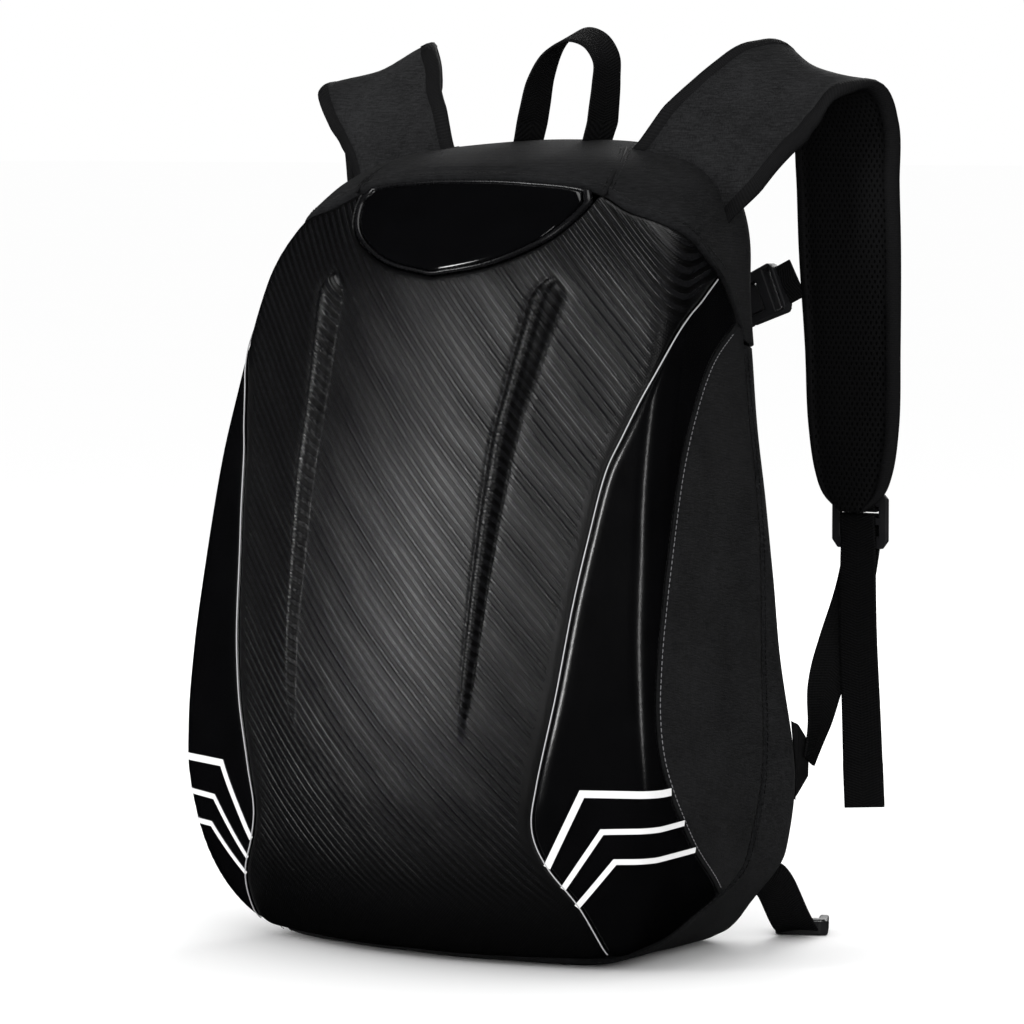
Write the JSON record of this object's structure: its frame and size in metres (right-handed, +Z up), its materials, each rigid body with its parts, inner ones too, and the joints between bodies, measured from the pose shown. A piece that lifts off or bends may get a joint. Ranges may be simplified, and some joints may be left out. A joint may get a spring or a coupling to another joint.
{
  "type": "motorcycle backpack",
  "caption": "Rucksack with a domed moulded shell front, gloss side panels, fabric hood and sides, padded straps, webbing adjusters and a loop handle.",
  "frame": {"origin": "middle of the flat base, on the floor under the bag", "axes": "+X to the right seen from the front, +Y towards the back panel, +Z up"},
  "size_m": [0.4288, 0.2898, 0.5655],
  "materials": {
    "shell": "semi-gloss with a fine slanting weave",
    "badge_frame": "gloss",
    "badge_plate": "high gloss",
    "patent": "gloss, smooth",
    "fabric": "matt woven polyester",
    "back_mesh": "matt spacer mesh",
    "webbing": "ribbed webbing",
    "strap_fabric": "matt woven, mesh lined",
    "buckle": "satin"
  },
  "bodies": {
    "root": {"carbon_shell": "shell", "badge_rim": "badge_frame", "badge_lens": "badge_plate", "gloss_panel_left": "patent", "gloss_panel_right": "patent", "side_panel_left": "fabric", "side_panel_right": "fabric", "gusset": "fabric", "hood": "fabric", "back_panel": "back_mesh", "grab_handle": "webbing", "shoulder_strap_left": "strap_fabric", "shoulder_strap_right": "strap_fabric", "ladder_lock_left": "buckle", "ladder_lock_right": "buckle", "adjuster_web_left": "webbing", "adjuster_web_right": "webbing", "anchor_tab_left": "fabric", "anchor_tab_right": "fabric", "sternum_web_left": "webbing", "sternum_web_right": "webbing", "sternum_buckle_female": "buckle", "sternum_buckle_male": "buckle", "waist_web_left": "webbing", "waist_web_right": "webbing", "waist_buckle_female": "buckle", "waist_buckle_male": "buckle"}
  },
  "joints": []
}
